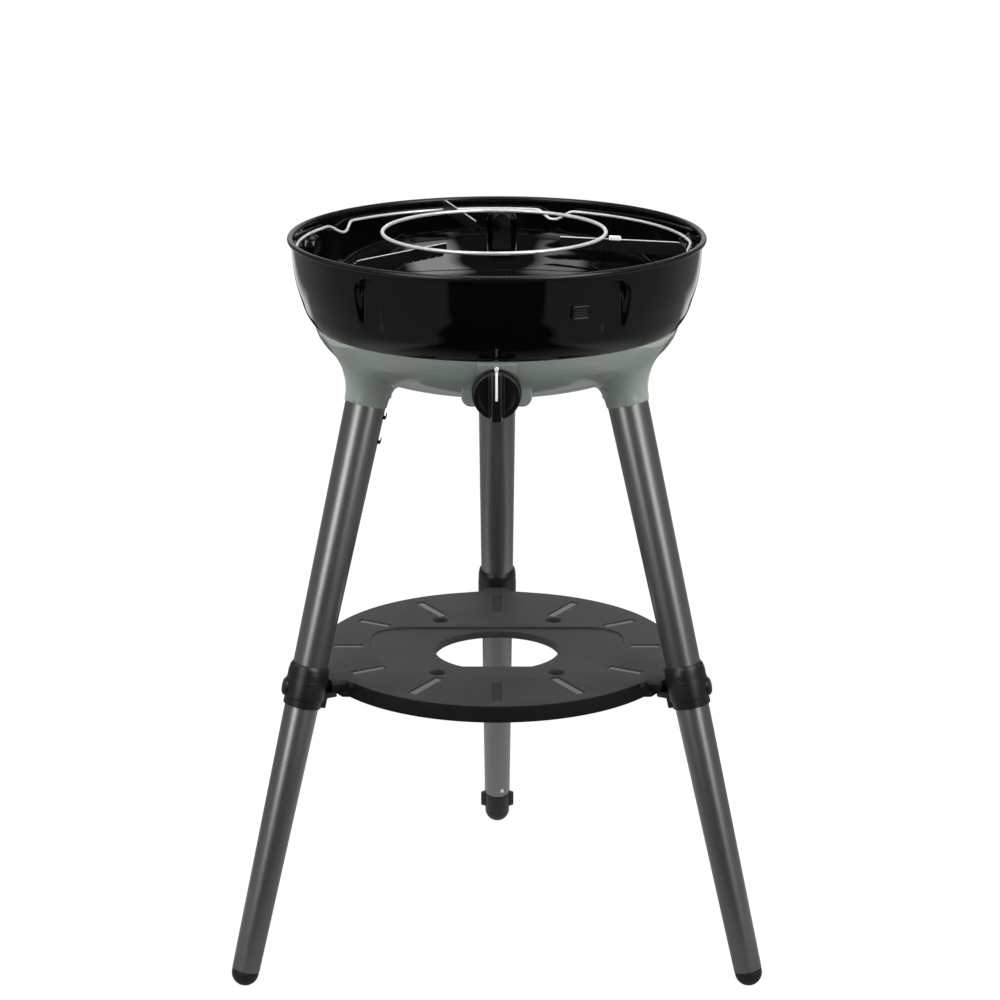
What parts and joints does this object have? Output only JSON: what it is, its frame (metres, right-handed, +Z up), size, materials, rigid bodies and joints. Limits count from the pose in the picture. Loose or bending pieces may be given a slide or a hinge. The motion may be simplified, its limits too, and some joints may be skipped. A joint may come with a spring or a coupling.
{
  "type": "portable round gas barbecue",
  "caption": "Round portable gas barbecue: black enamel fire bowl with a lift-out wire pan support, grey base with a control knob, tapered tube legs and a shelf.",
  "frame": {"origin": "centre of the outline on the ground, under the fire bowl and a little behind its axis", "axes": "+Z up, -Y towards the user and the control knob, +X to the user's right"},
  "size_m": [0.645, 0.6201, 0.8986],
  "materials": {
    "black_enamel": "glossy vitreous black enamel on pressed steel",
    "grey_moulding": "satin grey-green moulding",
    "tube_metal": "satin gunmetal lacquer on tapered steel tube",
    "bright_wire": "bright nickel-plated wire",
    "plain_steel": "plain steel sheet",
    "cast_aluminium": "die-cast aluminium",
    "brass": "machined brass",
    "shelf_plastic": "finely textured charcoal plastic",
    "black_plastic": "satin black plastic",
    "white_inlay": "white printed mark",
    "ceramic": "glazed ceramic insulator"
  },
  "bodies": {
    "stand": {"fire_bowl": "black_enamel", "bowl_badge": "black_enamel", "base_housing": "grey_moulding", "control_pod": "grey_moulding", "knob_bezel": "black_plastic", "leg_hook_1": "black_plastic", "leg_hook_2": "black_plastic", "index_dot": "white_inlay", "valve_body": "brass", "gas_jet": "brass", "gas_inlet": "brass", "knob_spring": "plain_steel", "venturi_tube": "plain_steel", "burner_cap": "plain_steel", "burner_bracket": "plain_steel", "electrode_tip": "plain_steel", "bowl_screw_1": "plain_steel", "bowl_screw_2": "plain_steel", "bowl_screw_3": "plain_steel", "bowl_screw_4": "plain_steel", "burner_head": "cast_aluminium", "electrode_insulator": "ceramic", "shelf": "shelf_plastic", "upper_leg_rear": "tube_metal", "leg_collar_rear": "black_plastic", "button_spring_rear": "plain_steel", "socket_screw_rear": "plain_steel", "upper_leg_left": "tube_metal", "leg_collar_left": "black_plastic", "button_spring_left": "plain_steel", "socket_screw_left": "plain_steel", "upper_leg_right": "tube_metal", "leg_collar_right": "black_plastic", "button_spring_right": "plain_steel", "socket_screw_right": "plain_steel"},
    "spring_seat": {"spring_seat": "plain_steel"},
    "knob": {"valve_stem": "brass", "knob": "black_plastic", "knob_pointer": "white_inlay"},
    "pan_support": {"support_outer_ring": "bright_wire", "support_inner_ring": "bright_wire", "support_plate_right": "plain_steel", "support_plate_rear": "plain_steel", "support_plate_left": "plain_steel", "support_tab": "bright_wire"},
    "collar_button_rear": {"collar_button_rear": "black_plastic"},
    "lower_leg_rear": {"lower_leg_rear": "tube_metal", "guide_sleeve_rear": "black_plastic", "foot_rivet": "bright_wire"},
    "collar_button_left": {"collar_button_left": "black_plastic"},
    "lower_leg_left": {"lower_leg_left": "tube_metal", "guide_sleeve_left": "black_plastic", "foot_left": "black_plastic"},
    "collar_button_right": {"collar_button_right": "black_plastic"},
    "lower_leg_right": {"lower_leg_right": "tube_metal", "guide_sleeve_right": "black_plastic", "foot_right": "black_plastic"},
    "levelling_foot": {"foot_rear": "black_plastic"}
  },
  "joints": [
    {"name": "knob_push", "type": "slide", "parent": "stand", "child": "spring_seat", "axis": [0, 1, 0], "range_m": [0, 0.003], "stiffness_N_per_m": 900, "springref_m": -0.002},
    {"name": "knob_turn", "type": "hinge", "parent": "spring_seat", "child": "knob", "pos_m": [0, -0.28006, 0.7526], "axis": [0, -1, 0], "range_deg": [0, 150]},
    {"name": "button_rear", "type": "slide", "parent": "stand", "child": "collar_button_rear", "axis": [0, -0.9696, -0.2447], "range_m": [0, 0.003], "stiffness_N_per_m": 600, "springref_m": -0.002},
    {"name": "leg_rear_slide", "type": "slide", "parent": "stand", "child": "lower_leg_rear", "axis": [0, 0.2447, -0.9696], "range_m": [0, 0.045]},
    {"name": "levelling_slide", "type": "slide", "parent": "lower_leg_rear", "child": "levelling_foot", "axis": [0, 0.2447, -0.9696], "range_m": [0, 0.015]},
    {"name": "button_left", "type": "slide", "parent": "stand", "child": "collar_button_left", "axis": [0.9601, 0.1594, -0.23], "range_m": [0, 0.003], "stiffness_N_per_m": 600, "springref_m": -0.002},
    {"name": "leg_left_slide", "type": "slide", "parent": "stand", "child": "lower_leg_left", "axis": [-0.2119, -0.1224, -0.9696], "range_m": [0, 0.045]},
    {"name": "button_right", "type": "slide", "parent": "stand", "child": "collar_button_right", "axis": [-0.9601, 0.1594, -0.23], "range_m": [0, 0.003], "stiffness_N_per_m": 600, "springref_m": -0.002},
    {"name": "leg_right_slide", "type": "slide", "parent": "stand", "child": "lower_leg_right", "axis": [0.2119, -0.1224, -0.9696], "range_m": [0, 0.045]},
    {"name": "pan_support_lift", "type": "slide", "parent": "stand", "child": "pan_support", "axis": [0, 0, 1], "range_m": [0, 0.15]}
  ]
}
